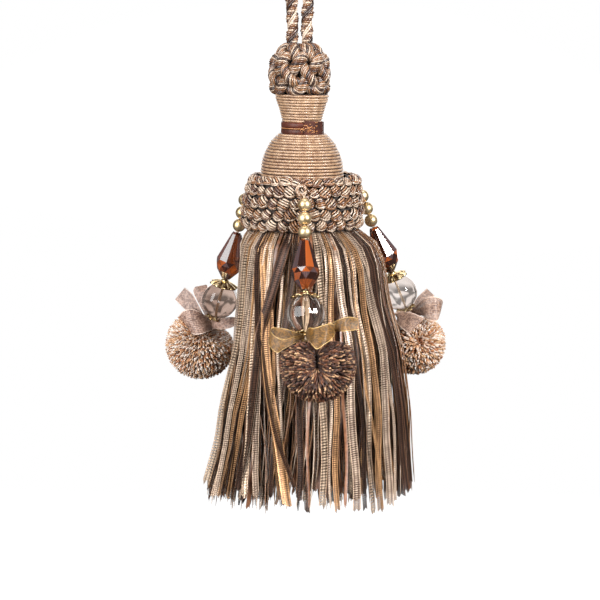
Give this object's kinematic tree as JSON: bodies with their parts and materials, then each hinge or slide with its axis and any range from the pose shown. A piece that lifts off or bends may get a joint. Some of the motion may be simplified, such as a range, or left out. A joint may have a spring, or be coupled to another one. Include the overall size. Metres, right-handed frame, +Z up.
{
  "type": "key tassel",
  "caption": "Hanging tassel with a twisted cord loop, ball knot, wound mold, knotted collar, ribbon skirt, and bead strings that end in bows and pompoms.",
  "frame": {"origin": "inside of the hanging loop's top, where a knob or key carries it", "axes": "+Z up along the tassel, -Y to its front, +X to its right as seen from the front"},
  "size_m": [0.0956, 0.0872, 0.2178],
  "materials": {
    "cord": "twisted rayon, silver, tan and brown plies",
    "knot_cord": "satin rayon cord",
    "gimp": "satin gimp, beige",
    "satin": "dark brown satin with a gold line",
    "collar_yarn": "knotted satin yarn, beige and brown",
    "skirt_ribbon": "sheer ladder ribbons and yarns, tan, silver and brown",
    "gold": "satin gold",
    "amber_glass": "polished facets, smoked amber",
    "clear_glass": "polished, clear",
    "organza": "sheer organza ribbon",
    "pompom_yarn": "cut yarn, cream, tan and brown"
  },
  "bodies": {
    "root": {"hanging_cord": "cord", "ball_knot": "knot_cord", "wound_mold": "gimp", "waist_band": "satin", "collar": "collar_yarn", "skirt": "skirt_ribbon", "front_gold_bead_1": "gold", "front_gold_bead_2": "gold", "front_gold_bead_3": "gold", "front_teardrop": "amber_glass", "front_glass_bead": "clear_glass", "front_upper_cap": "gold", "front_lower_cap": "gold", "front_bow": "organza", "front_pompom": "pompom_yarn", "left_gold_bead_1": "gold", "left_gold_bead_2": "gold", "left_gold_bead_3": "gold", "left_teardrop": "amber_glass", "left_glass_bead": "clear_glass", "left_upper_cap": "gold", "left_lower_cap": "gold", "left_bow": "organza", "left_pompom": "pompom_yarn", "right_gold_bead_1": "gold", "right_gold_bead_2": "gold", "right_gold_bead_3": "gold", "right_teardrop": "amber_glass", "right_glass_bead": "clear_glass", "right_upper_cap": "gold", "right_lower_cap": "gold", "right_bow": "organza", "right_pompom": "pompom_yarn"}
  },
  "joints": []
}
